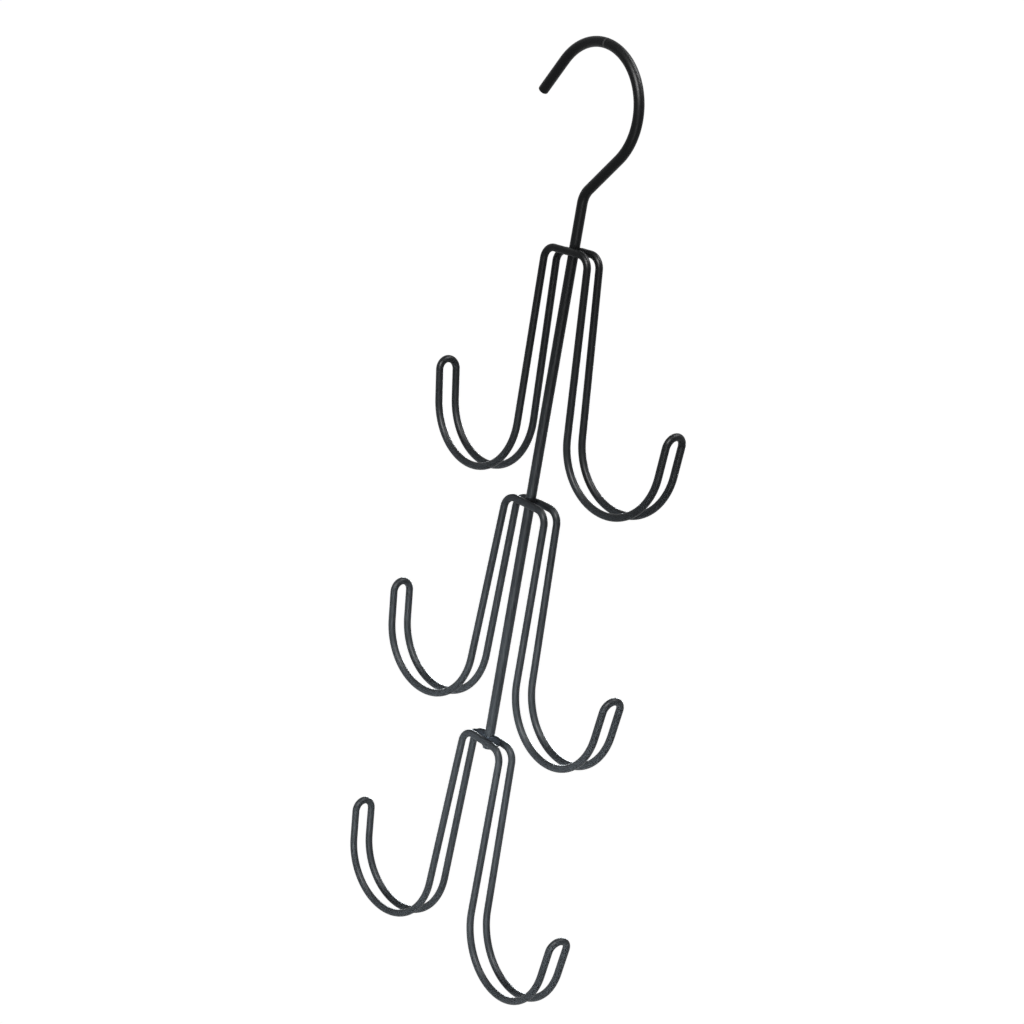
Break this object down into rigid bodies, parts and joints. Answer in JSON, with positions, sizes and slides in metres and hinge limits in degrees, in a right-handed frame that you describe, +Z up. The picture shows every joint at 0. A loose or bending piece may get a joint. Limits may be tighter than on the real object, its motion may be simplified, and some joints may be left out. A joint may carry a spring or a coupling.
{
  "type": "handbag hanger",
  "caption": "Black coated wire hanger for a wardrobe rail: a hooked rod with wire loops welded across it one under the other, each bent into open hooks that carry bags by their handles.",
  "frame": {"origin": "inside of the top hook, at the highest point of its arc, where a round rail bears", "axes": "+Z up along the straight rod, X along the bag hooks with the top hook's mouth towards -X, front towards -Y"},
  "size_m": [0.1705, 0.0227, 0.4697],
  "materials": {
    "powder_coat": "satin black powder coat on steel wire, with a faint orange peel",
    "weld_coat": "the same coat over weld metal, a little uneven"
  },
  "bodies": {
    "root": {"hook_rod": "powder_coat", "top_loop": "powder_coat", "middle_loop": "powder_coat", "bottom_loop": "powder_coat", "top_front_weld": "weld_coat", "top_back_weld": "weld_coat", "middle_front_weld": "weld_coat", "middle_back_weld": "weld_coat", "bottom_front_weld": "weld_coat", "bottom_back_weld": "weld_coat"}
  },
  "joints": []
}
